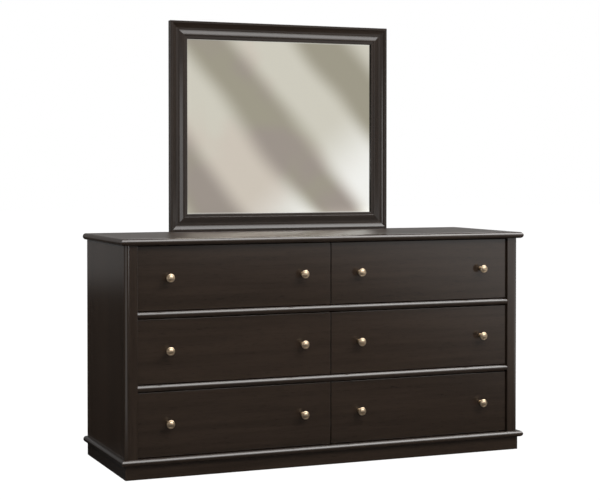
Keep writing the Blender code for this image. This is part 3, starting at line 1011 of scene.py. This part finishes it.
painted_reflection_lightness = ramp(tree, wave, 0.85, -0.75)
upper_right = ramp(tree, across, 0.02, 0.22)
warm = math_of(tree, "SUBTRACT", noise(tree, place, 3.1, 2), product(tree, upper_right, 0.16))
painted_light_band = blend(tree, ramp(tree, warm, 0.42, 0.58), *painted_reflection_light_tones)
painted_dark_band = blend(tree, ramp(tree, warm, 0.40, 0.60), *painted_reflection_dark_tones)
colour = blend(tree, painted_reflection_lightness, painted_dark_band, painted_light_band)
painted_corner_reflection = ramp(tree, along_axis(tree, place, downhill), 0.10, 0.38)
colour = blend(tree, product(tree, painted_corner_reflection, painted_reflection_lightness), colour, painted_reflection_corner_tone)
# The bevel's faces are painted lighter: a painted highlight along the bevel.
ground = step(tree, "ShaderNodeAttribute", attribute_name="bevel").outputs["Fac"]
colour = blend(tree, product(tree, ground, painted_bevel_highlight_share), colour, painted_bevel_highlight_tone)
surfaced(tree, {"Base Color": colour, "Metallic": 1.0, "Roughness": 0.04})

shape = bmesh.new()
rings = []
for y, inset in ((glass_high.y, 0.0), (glass_low.y + bevel_drop, 0.0), (glass_low.y, bevel_width)):
    x0, x1 = glass_low.x + inset, glass_high.x - inset
    z0, z1 = glass_low.z + inset, glass_high.z - inset
    rings.append([shape.verts.new(p) for p in ((x0, y, z0), (x1, y, z0), (x1, y, z1), (x0, y, z1))])
mark = shape.faces.layers.float.new("bevel")
for ring, following in zip(rings, rings[1:]):
    for i in range(4):
        j = (i + 1) % 4
        face = shape.faces.new((ring[i], ring[j], following[j], following[i]))
        face[mark] = float(following is rings[2])
shape.faces.new(rings[0])
shape.faces.new(rings[2])
bmesh.ops.recalc_face_normals(shape, faces=shape.faces)
glass = settle("bevelled_mirror_glass", shape, silver, "carcass", ("mirror_glass",))
glass.data.shade_flat()

board_from("mirror_backing", "mirror_backing_board", hardboard, "carcass", hardboard_ease)

# Mirror supports. Two boards behind the frame's side members carry the mirror: each is screwed to
# the back of the carcass and to the frame.
head_room = 0.00135
support_ease = 0.0015
for word in sides:
    node = f"mirror_support_{word}"
    name = f"mirror_support_board_{word}"
    cut = ((0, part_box(node)[1].y - head_room, 0), (0, 1, 0))
    board_from(node, name, espresso_z, "carcass", support_ease, (cut,))

# Screws. Brass pan-head screws with a cross recess hold the supports, the clips of the mirror's
# backing and, from inside each drawer, the knobs.
head_height = 0.0013
head_reach = 0.004
head_rim = 0.0003
head_shoulder = 0.0008
head_flat = 0.0012
head_sides = 24
recess_width = 0.0042
recess_share = 0.24
screw_tree, given, wanted = grow_tree(
    "headed_screw",
    (
        ("Outline", object_kind, None),
        ("Sides", whole_kind, head_sides),
        ("Height", value_kind, head_height),
        ("Recess Width", value_kind, recess_width),
    ),
)
tree = screw_tree
turned = {name: given[name] for name in ("Outline", "Sides", "Finish")}
turned_head = step(tree, "GeometryNodeGroup", turned, node_tree=turned_tree).outputs[0]
wide = given["Recess Width"]
narrow = product(tree, wide, recess_share)
lift = step(tree, "ShaderNodeCombineXYZ", {"Y": product(tree, given["Height"], -1.0)}).outputs[0]
cut = step(tree, "GeometryNodeMeshBoolean", {0: turned_head}, operation="DIFFERENCE")
for long_way, short_way in ((wide, narrow), (narrow, wide)):
    size = {"X": long_way, "Y": given["Height"], "Z": short_way}
    extent = step(tree, "ShaderNodeCombineXYZ", size).outputs[0]
    block = step(tree, "GeometryNodeMeshCube", {"Size": extent}).outputs[0]
    raised = step(tree, "GeometryNodeSetPosition", {"Geometry": block, "Offset": lift}).outputs[0]
    tree.links.new(raised, cut.inputs[1])
end_tree(tree, given, wanted, cut.outputs[0])

fixing_tree, given, wanted = grow_tree(
    "fixings_at_places",
    (("Places", object_kind, None), ("Shape", object_kind, None), ("Turn", vector_kind, (0, 0, 0))),
)
tree = fixing_tree
turn = step(tree, "FunctionNodeEulerToRotation", {0: given["Turn"]}).outputs[0]
spread = {
    "Points": geometry_of(tree, given["Places"]),
    "Instance": geometry_of(tree, given["Shape"]),
    "Rotation": turn,
}
end_tree(tree, given, wanted, step(tree, "GeometryNodeInstanceOnPoints", spread).outputs[0])


def set_fixings(name, pattern, places, turn, body):
    """Copies of one fixing at a list of places, as one piece."""
    mesh = bpy.data.meshes.new(name + "_places")
    mesh.from_pydata(places, [], [])
    marks = put_in(name + "_places", mesh)
    shape = grown(name, fixing_tree, Places=marks, Shape=pattern, Turn=turn, Finish=brass)
    bpy.data.objects.remove(marks)
    return settle(name, shape, brass, body)


head_profile = [(0, 0), (head_reach, 0), (head_reach, head_rim)]
shoulder = (head_shoulder, head_height - 0.0004)
head_profile += arc((head_reach - head_shoulder, head_rim), shoulder, 20, 80, 4)
head_profile += [(head_flat, head_height), (0, head_height)]
head_outline = drawn("head_outline", head_profile, closed=False)
screw_shape = grown("screw", screw_tree, Outline=head_outline, Sides=head_sides, Finish=brass)
screw = set_down("screw_pattern", screw_shape)
towards_back = (0, 0, math.pi)
clearance = 0.00005
support_screw_heights = (0.42, 0.60, 0.87, 1.12, 1.38)
pair_spread = 0.011
for word in sides:
    node = f"mirror_support_{word}"
    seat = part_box(node)[1].y - head_room + clearance
    middle = behind_middle_of(node, seat)[0]
    in_the_top = behind_middle_of("top_panel", seat)[2]
    places = [(middle, seat, z) for z in support_screw_heights]
    places += [(middle + shift, seat, in_the_top) for shift in (-pair_spread, pair_spread)]
    set_fixings(f"support_screws_{word}", screw, places, towards_back, "carcass")
for bay in bays:
    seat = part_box(f"{bay}_drawer_front")[1].y + clearance
    places = [behind_middle_of(f"{bay}_knob_{hand}", seat) for hand in sides]
    set_fixings(f"{bay}_knob_screws", screw, places, towards_back, f"{bay}_drawer")

# Clips and staples. Offset clips of bent strip, screwed to the frame's back, press the backing into
# its rabbet. Wire staples along the edges and the partition hold the hardboard back.
clip_thickness = 0.001
clip_foot = 0.013
clip_width = 0.014
clip_bend = 0.0008
bend_start = 0.0006
bend_end = bend_start + clip_thickness
clip_screw_share = 0.55
frame_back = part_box("mirror_frame_top")[1].y
on_frame = clearance
on_board = clearance - (frame_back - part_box("mirror_backing")[1].y)
clip_corners = (
    (-clip_foot, on_frame, 0),
    (bend_start, on_frame, clip_bend),
    (bend_start, on_board, clip_bend),
    (clip_foot, on_board, 0),
    (clip_foot, on_board + clip_thickness, 0),
    (bend_end, on_board + clip_thickness, 0.0003),
    (bend_end, on_frame + clip_thickness, clip_bend),
    (-clip_foot, on_frame + clip_thickness, 0),
)
clip_section = drawn("clip_section", rounded(clip_corners))
ends = ((-clip_width / 2, 0, 0), (clip_width / 2, 0, 0))
clip = set_down("clip_pattern", sawn("clip", clip_section, ends, ((0, 0, 1), (0, 1, 0)), brass))
clip_columns = (-0.25, 0.0, 0.25)
screw_inset = clip_foot * clip_screw_share
seat = frame_back + 2 * clearance + clip_thickness
walls = (("bottom", mirror_low + rabbet, 1, (0, 0, 0)), ("top", mirror_high - rabbet, -1, (0, math.pi, 0)))
for word, wall, inwards, turn in walls:
    places = [(x, frame_back, wall) for x in clip_columns]
    set_fixings(f"backing_clips_{word}", clip, places, turn, "carcass")
    places = [(x, seat, wall - inwards * screw_inset) for x in clip_columns]
    set_fixings(f"clip_screws_{word}", screw, places, towards_back, "carcass")

wire_tree, given, wanted = grow_tree(
    "bent_wire", (("Path", object_kind, None), ("Section", object_kind, None))
)
tree = wire_tree
sweep = {"Curve": geometry_of(tree, given["Path"]), "Profile Curve": geometry_of(tree, given["Section"])}
bent = step(tree, "GeometryNodeCurveToMesh", {**sweep, "Fill Caps": True}).outputs[0]
end_tree(tree, given, wanted, bent)

crown_width = 0.011
wire = 0.0007
leg_bend = (0.0008, 0.0004)
staple_line = [(-crown_width / 2, 0), *arc((-crown_width / 2 + leg_bend[0], 0.0002), leg_bend, 180, 90, 3)]
staple_line += [(-x, y) for x, y in reversed(staple_line)]
staple_path = drawn("staple_path", staple_line, closed=False)
wire_round = [(x, y, 0) for x, y in arc((0, 0), (wire / 2, wire / 2), 0, 315, 7)]
staple_section = drawn("staple_section", rounded(wire_round))
staple_shape = grown("staple", wire_tree, Path=staple_path, Section=staple_section, Finish=brass)
staple = set_down("staple_pattern", staple_shape)
edge_inset = 0.008
corner_inset = 0.04
low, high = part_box("back_panel")
seat = high.y + wire / 2 + clearance
gaps = 7
tall = high.z - low.z - 2 * corner_inset
heights = [low.z + corner_inset + tall * i / gaps for i in range(gaps + 1)]
upright = [(x, seat, z) for z in heights for x in (low.x + edge_inset, 0, high.x - edge_inset)]
columns = [side * x for side in (-1, 1) for x in (0.09, 0.20, 0.31, 0.49, 0.60, 0.69)]
level = [(x, seat, z) for x in columns for z in (low.z + edge_inset, high.z - edge_inset)]
set_fixings("back_staples_upright", staple, upright, (0, math.pi / 2, 0), "carcass")
set_fixings("back_staples_level", staple, level, (0, 0, 0), "carcass")

# The outlines and patterns are put away.
for helper in [o for o in bpy.data.objects if o.type == "CURVE"] + [screw, clip, staple]:
    bpy.data.objects.remove(helper)

# The size of the finished piece.
low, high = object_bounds()
